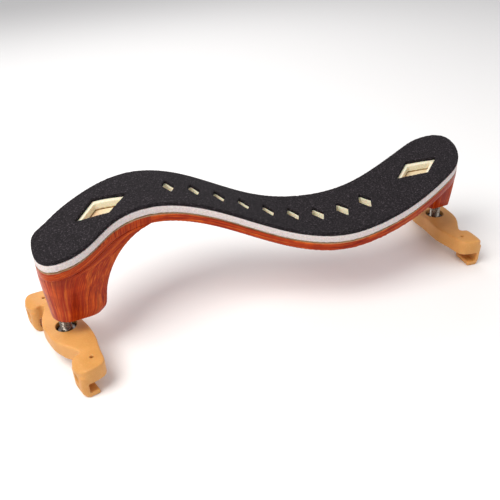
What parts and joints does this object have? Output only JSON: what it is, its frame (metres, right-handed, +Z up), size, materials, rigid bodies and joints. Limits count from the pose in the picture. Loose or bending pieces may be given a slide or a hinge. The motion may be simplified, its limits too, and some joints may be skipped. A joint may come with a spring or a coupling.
{
  "type": "violin shoulder rest",
  "caption": "S-shaped maple shoulder rest with a vented foam cushion, screw posts of adjustable height and silicone claw forks that grip an instrument's edge.",
  "frame": {"origin": "bottom centre of the whole rest's box, on the plane that the claws' lips stand on", "axes": "+X from the chest end to the shoulder end, +Y towards the instrument's neck, +Z up, away from the instrument's back"},
  "size_m": [0.2162, 0.067, 0.0585],
  "materials": {
    "varnished_maple": "red-brown gloss varnish over figured maple",
    "black_eva": "matte speckled foam skin",
    "pale_sponge": "matte fine-celled foam",
    "amber_film": "translucent adhesive",
    "brass": "turned",
    "nickel": "bright nickel plate",
    "steel": "blackened",
    "tan_silicone": "satin moulded silicone"
  },
  "bodies": {
    "arch": {"maple_board": "varnished_maple", "chest_leg": "varnished_maple", "shoulder_leg": "varnished_maple", "adhesive_film": "amber_film", "pale_foam": "pale_sponge", "black_foam": "black_eva", "chest_insert": "brass", "shoulder_insert": "brass"},
    "chest_screw": {"chest_post": "nickel", "chest_washer": "steel", "chest_clip": "steel"},
    "chest_fork": {"chest_fork_core": "steel", "chest_fork_cover": "tan_silicone"},
    "shoulder_screw": {"shoulder_post": "nickel", "shoulder_washer": "steel", "shoulder_clip": "steel"},
    "shoulder_fork": {"shoulder_fork_core": "steel", "shoulder_fork_cover": "tan_silicone"}
  },
  "joints": [
    {"name": "chest_height", "type": "slide", "parent": "arch", "child": "chest_screw", "axis": [0, 0, 1], "range_m": [-0.006, 0.0056]},
    {"name": "chest_turn", "type": "hinge", "parent": "chest_screw", "child": "chest_fork", "pos_m": [-0.0952, -0.0009, 0.0102], "axis": [0, 0, 1], "range_deg": [-2700.3, 2520.3]},
    {"name": "shoulder_height", "type": "slide", "parent": "arch", "child": "shoulder_screw", "axis": [0, 0, 1], "range_m": [-0.006, 0.0056]},
    {"name": "shoulder_turn", "type": "hinge", "parent": "shoulder_screw", "child": "shoulder_fork", "pos_m": [0.0952, -0.0009, 0.0102], "axis": [0, 0, 1], "range_deg": [-2700.3, 2520.3]}
  ],
  "couplings": [
    {"joint": "chest_turn", "follows": "chest_height", "rad_per_m": 7854},
    {"joint": "shoulder_turn", "follows": "shoulder_height", "rad_per_m": 7854}
  ]
}
